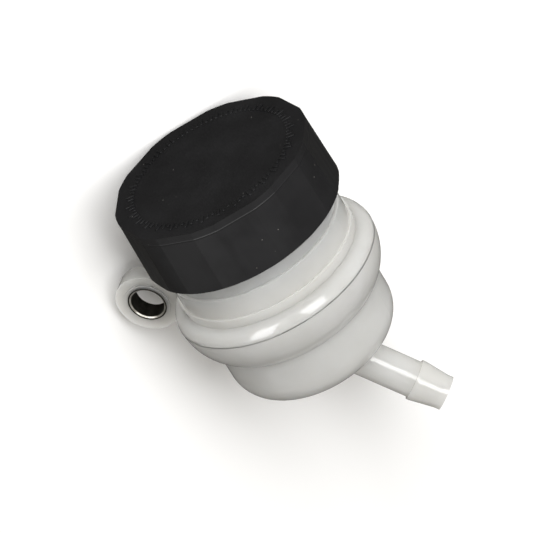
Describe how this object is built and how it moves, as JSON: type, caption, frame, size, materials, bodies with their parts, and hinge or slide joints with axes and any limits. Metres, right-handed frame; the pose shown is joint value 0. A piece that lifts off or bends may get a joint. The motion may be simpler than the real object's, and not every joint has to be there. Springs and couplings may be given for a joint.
{
  "type": "brake fluid reservoir",
  "caption": "Small round bottle for brake fluid with a black screw cap, a bolt eye with a steel bush and a barbed hose spigot angled down.",
  "frame": {"origin": "middle of the bolt hole through the eye's steel bush", "axes": "+Z along the bottle's axis towards the cap, +X from the eye across the bottle towards the hose spigot, +Y along the bolt hole"},
  "size_m": [0.0542, 0.0412, 0.0649],
  "materials": {
    "bottle_plastic": "milky translucent moulded plastic",
    "bush_steel": "plain zinc plated",
    "seal_rubber": "matt",
    "plate_plastic": "natural moulded plastic",
    "cap_plastic": "satin black moulded plastic"
  },
  "bodies": {
    "bottle_body": {"bottle": "bottle_plastic", "bottle_eye": "bottle_plastic", "eye_bush": "bush_steel"},
    "seal_stack": {"diaphragm": "seal_rubber", "diaphragm_plate": "plate_plastic"},
    "cap_body": {"cap": "cap_plastic"}
  },
  "joints": [
    {"name": "cap_rise", "type": "slide", "parent": "bottle_body", "child": "seal_stack", "axis": [0, 0, 1], "range_m": [0, 0.00675]},
    {"name": "cap_turn", "type": "hinge", "parent": "seal_stack", "child": "cap_body", "pos_m": [0.0269, 0, 0.02], "axis": [0, 0, 1], "range_deg": [0, 810]}
  ],
  "couplings": [
    {"joint": "cap_rise", "follows": "cap_turn", "m_per_rad": 0.00047746}
  ]
}
